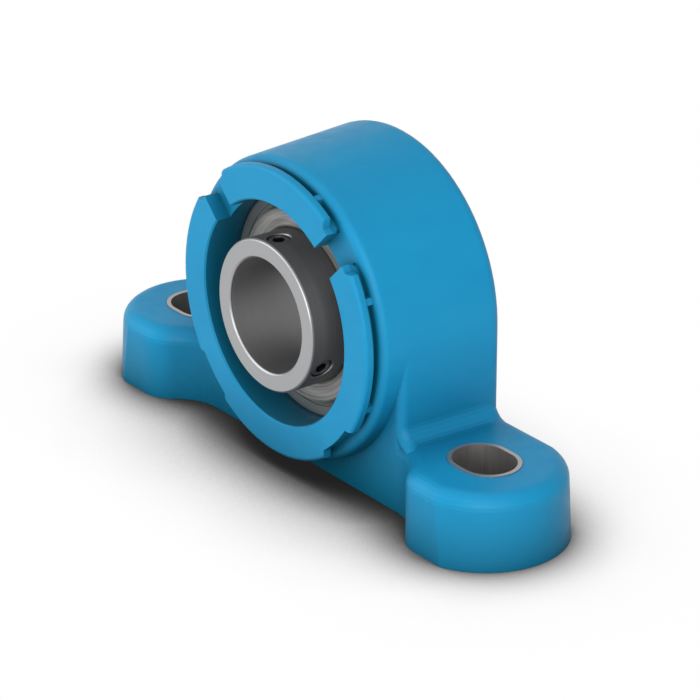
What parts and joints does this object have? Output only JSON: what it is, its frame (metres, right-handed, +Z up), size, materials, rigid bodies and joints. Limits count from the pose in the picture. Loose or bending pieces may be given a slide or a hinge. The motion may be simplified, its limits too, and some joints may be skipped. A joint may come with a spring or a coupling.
{
  "type": "pillow block bearing",
  "caption": "Moulded pillow block with bolt feet in metal sleeves, holding a self-aligning ball bearing insert locked by set screws, inside a notched ring for a clip-on end cover.",
  "frame": {"origin": "on the mounting face, under the shaft axis, in the plane of the balls and bolts", "axes": "+X along the base, -Y out of the locking side, +Z up"},
  "size_m": [0.1618, 0.0427, 0.0838],
  "materials": {
    "housing_plastic": "satin",
    "sleeve_metal": "satin",
    "outer_ring_steel": "ground",
    "inner_ring_steel": "ground",
    "cage_plastic": "matte",
    "ball_steel": "polished",
    "seal_rubber": "matte",
    "flinger_steel": "satin",
    "screw_steel": "black oxide"
  },
  "bodies": {
    "housing": {"housing": "housing_plastic", "bushing_left": "sleeve_metal", "bushing_right": "sleeve_metal"},
    "outer_ring": {"outer_ring": "outer_ring_steel", "seal_front": "seal_rubber", "seal_rear": "seal_rubber"},
    "inner_ring": {"inner_ring": "inner_ring_steel", "flinger_front": "flinger_steel", "flinger_rear": "flinger_steel"},
    "cage": {"cage": "cage_plastic"},
    "ball_1": {"ball_1": "ball_steel"},
    "ball_2": {"ball_2": "ball_steel"},
    "ball_3": {"ball_3": "ball_steel"},
    "ball_4": {"ball_4": "ball_steel"},
    "ball_5": {"ball_5": "ball_steel"},
    "ball_6": {"ball_6": "ball_steel"},
    "ball_7": {"ball_7": "ball_steel"},
    "ball_8": {"ball_8": "ball_steel"},
    "ball_9": {"ball_9": "ball_steel"},
    "set_screw_1": {"set_screw_1": "screw_steel"},
    "set_screw_2": {"set_screw_2": "screw_steel"}
  },
  "joints": [
    {"name": "insert_swivel", "type": "hinge", "parent": "housing", "child": "outer_ring", "pos_m": [0, 0, 0.0429], "axis": [1, 0, 0], "range_deg": [-2.5, 2.5]},
    {"name": "shaft_spin", "type": "hinge", "parent": "outer_ring", "child": "inner_ring", "pos_m": [0, 0, 0.0429], "axis": [0, -1, 0], "continuous": true},
    {"name": "cage_spin", "type": "hinge", "parent": "outer_ring", "child": "cage", "pos_m": [0, 0, 0.0429], "axis": [0, -1, 0], "continuous": true},
    {"name": "ball_1_roll", "type": "hinge", "parent": "cage", "child": "ball_1", "pos_m": [0, 0, 0.0659], "axis": [0, -1, 0], "continuous": true},
    {"name": "ball_2_roll", "type": "hinge", "parent": "cage", "child": "ball_2", "pos_m": [-0.01478, 0, 0.06052], "axis": [0, -1, 0], "continuous": true},
    {"name": "ball_3_roll", "type": "hinge", "parent": "cage", "child": "ball_3", "pos_m": [-0.02265, 0, 0.04689], "axis": [0, -1, 0], "continuous": true},
    {"name": "ball_4_roll", "type": "hinge", "parent": "cage", "child": "ball_4", "pos_m": [-0.01992, 0, 0.0314], "axis": [0, -1, 0], "continuous": true},
    {"name": "ball_5_roll", "type": "hinge", "parent": "cage", "child": "ball_5", "pos_m": [-0.00787, 0, 0.02129], "axis": [0, -1, 0], "continuous": true},
    {"name": "ball_6_roll", "type": "hinge", "parent": "cage", "child": "ball_6", "pos_m": [0.00787, 0, 0.02129], "axis": [0, -1, 0], "continuous": true},
    {"name": "ball_7_roll", "type": "hinge", "parent": "cage", "child": "ball_7", "pos_m": [0.01992, 0, 0.0314], "axis": [0, -1, 0], "continuous": true},
    {"name": "ball_8_roll", "type": "hinge", "parent": "cage", "child": "ball_8", "pos_m": [0.02265, 0, 0.04689], "axis": [0, -1, 0], "continuous": true},
    {"name": "ball_9_roll", "type": "hinge", "parent": "cage", "child": "ball_9", "pos_m": [0.01478, 0, 0.06052], "axis": [0, -1, 0], "continuous": true},
    {"name": "set_screw_1_slide", "type": "slide", "parent": "inner_ring", "child": "set_screw_1", "axis": [-0.0175, 0, 0.9998], "range_m": [-0.0007, 0.0015]},
    {"name": "set_screw_2_slide", "type": "slide", "parent": "inner_ring", "child": "set_screw_2", "axis": [0.8746, 0, -0.4848], "range_m": [-0.0007, 0.0015]}
  ],
  "couplings": [
    {"joint": "cage_spin", "follows": "shaft_spin", "ratio": 0.39647},
    {"joint": "ball_1_roll", "follows": "shaft_spin", "ratio": -2.3112},
    {"joint": "ball_2_roll", "follows": "shaft_spin", "ratio": -2.3112},
    {"joint": "ball_3_roll", "follows": "shaft_spin", "ratio": -2.3112},
    {"joint": "ball_4_roll", "follows": "shaft_spin", "ratio": -2.3112},
    {"joint": "ball_5_roll", "follows": "shaft_spin", "ratio": -2.3112},
    {"joint": "ball_6_roll", "follows": "shaft_spin", "ratio": -2.3112},
    {"joint": "ball_7_roll", "follows": "shaft_spin", "ratio": -2.3112},
    {"joint": "ball_8_roll", "follows": "shaft_spin", "ratio": -2.3112},
    {"joint": "ball_9_roll", "follows": "shaft_spin", "ratio": -2.3112}
  ]
}
